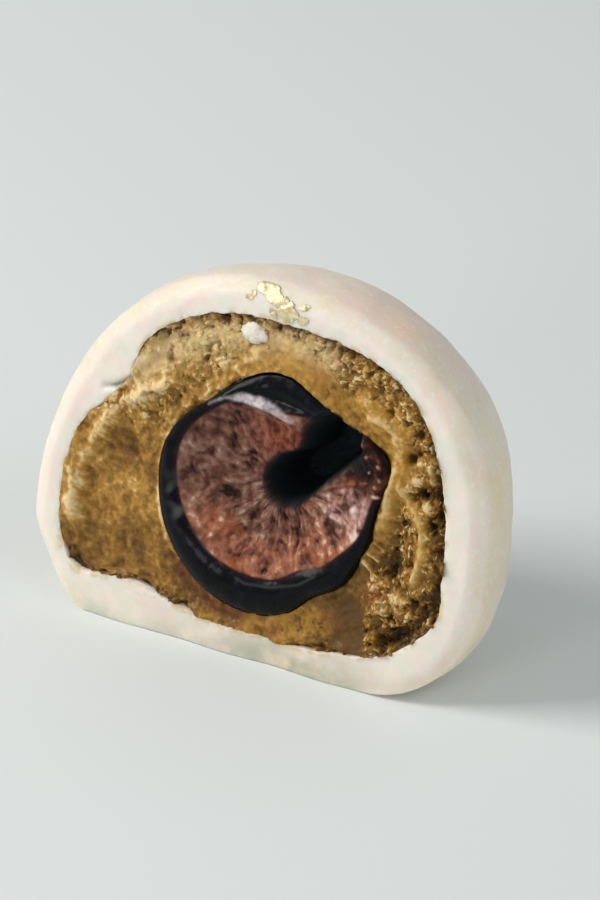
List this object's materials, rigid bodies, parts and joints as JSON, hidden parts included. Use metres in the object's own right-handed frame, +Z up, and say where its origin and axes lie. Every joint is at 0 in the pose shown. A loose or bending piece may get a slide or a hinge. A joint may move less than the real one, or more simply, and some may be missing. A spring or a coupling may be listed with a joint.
{
  "type": "cut half of a filled rice cake",
  "caption": "Cut half of a soft rice-skin sweet, standing on its flat base, with bean paste and a dark stoned fruit showing on its cut face.",
  "frame": {"origin": "on the surface it stands on, under the middle of the object's box", "axes": "+Z up, +X to the right along the cut face, -Y out of the cut face, which leans back 9 degrees"},
  "size_m": [0.0476, 0.0218, 0.0359],
  "materials": {
    "rice_skin": "soft steamed rice dough, dusted with flour",
    "bean_paste": "moist grainy paste, smeared by the knife",
    "stewed_fruit": "wet dark peel and flesh",
    "gold_leaf": "thin crumpled leaf"
  },
  "bodies": {
    "root": {"mochi_skin": "rice_skin", "bean_paste": "bean_paste", "stoned_fruit": "stewed_fruit"}
  },
  "joints": []
}
